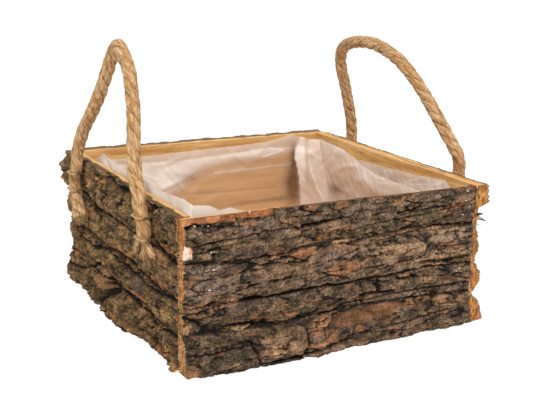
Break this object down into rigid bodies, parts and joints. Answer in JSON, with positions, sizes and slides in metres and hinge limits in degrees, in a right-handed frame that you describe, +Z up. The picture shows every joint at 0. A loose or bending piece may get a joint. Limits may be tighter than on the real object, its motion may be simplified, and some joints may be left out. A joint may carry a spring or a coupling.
{
  "type": "square bark planter basket",
  "caption": "Square planter basket with rustic bark slab walls, a film liner and standing rope handles on two sides.",
  "frame": {"origin": "middle of the basket on the surface it stands on", "axes": "+Z up out of the basket; the walls with the handles face -X and +X, the front wall faces -Y"},
  "size_m": [0.313, 0.3024, 0.2427],
  "materials": {
    "bark": "rough dark grey-brown bark, sawn orange wood at the ends and back",
    "sawn_wood": "rough sawn, untreated",
    "rope": "three-strand jute rope, hairy",
    "film": "thin milky translucent film",
    "steel": "plain wire"
  },
  "bodies": {
    "basket": {"front_slab_1": "bark", "front_slab_2": "bark", "front_slab_3": "bark", "front_slab_4": "bark", "right_slab_1": "bark", "right_slab_2": "bark", "right_slab_3": "bark", "right_slab_4": "bark", "rear_slab_1": "bark", "rear_slab_2": "bark", "rear_slab_3": "bark", "rear_slab_4": "bark", "left_slab_1": "bark", "left_slab_2": "bark", "left_slab_3": "bark", "left_slab_4": "bark", "front_left_post": "sawn_wood", "front_right_post": "sawn_wood", "rear_right_post": "sawn_wood", "rear_left_post": "sawn_wood", "bottom_board_1": "sawn_wood", "bottom_board_2": "sawn_wood", "bottom_board_3": "sawn_wood", "bottom_board_4": "sawn_wood", "left_batten": "sawn_wood", "right_batten": "sawn_wood", "film_liner": "film", "left_rope_tail_rear": "rope", "left_rope_staple_rear_1": "steel", "left_rope_staple_rear_2": "steel", "left_rope_tail_front": "rope", "left_rope_staple_front_1": "steel", "left_rope_staple_front_2": "steel", "right_rope_tail_rear": "rope", "right_rope_staple_rear_1": "steel", "right_rope_staple_rear_2": "steel", "right_rope_tail_front": "rope", "right_rope_staple_front_1": "steel", "right_rope_staple_front_2": "steel"},
    "left_handle": {"left_rope_arch": "rope"},
    "right_handle": {"right_rope_arch": "rope"}
  },
  "joints": [
    {"name": "left_handle_swing", "type": "hinge", "parent": "basket", "child": "left_handle", "pos_m": [-0.14955, 0, 0.13], "axis": [0, 1, 0], "range_deg": [-86, 72], "stiffness_Nm_per_rad": 0.08, "springref_deg": -0.52},
    {"name": "right_handle_swing", "type": "hinge", "parent": "basket", "child": "right_handle", "pos_m": [0.14955, 0, 0.13], "axis": [0, -1, 0], "range_deg": [-100, 58], "stiffness_Nm_per_rad": 0.08, "springref_deg": -1.95}
  ]
}
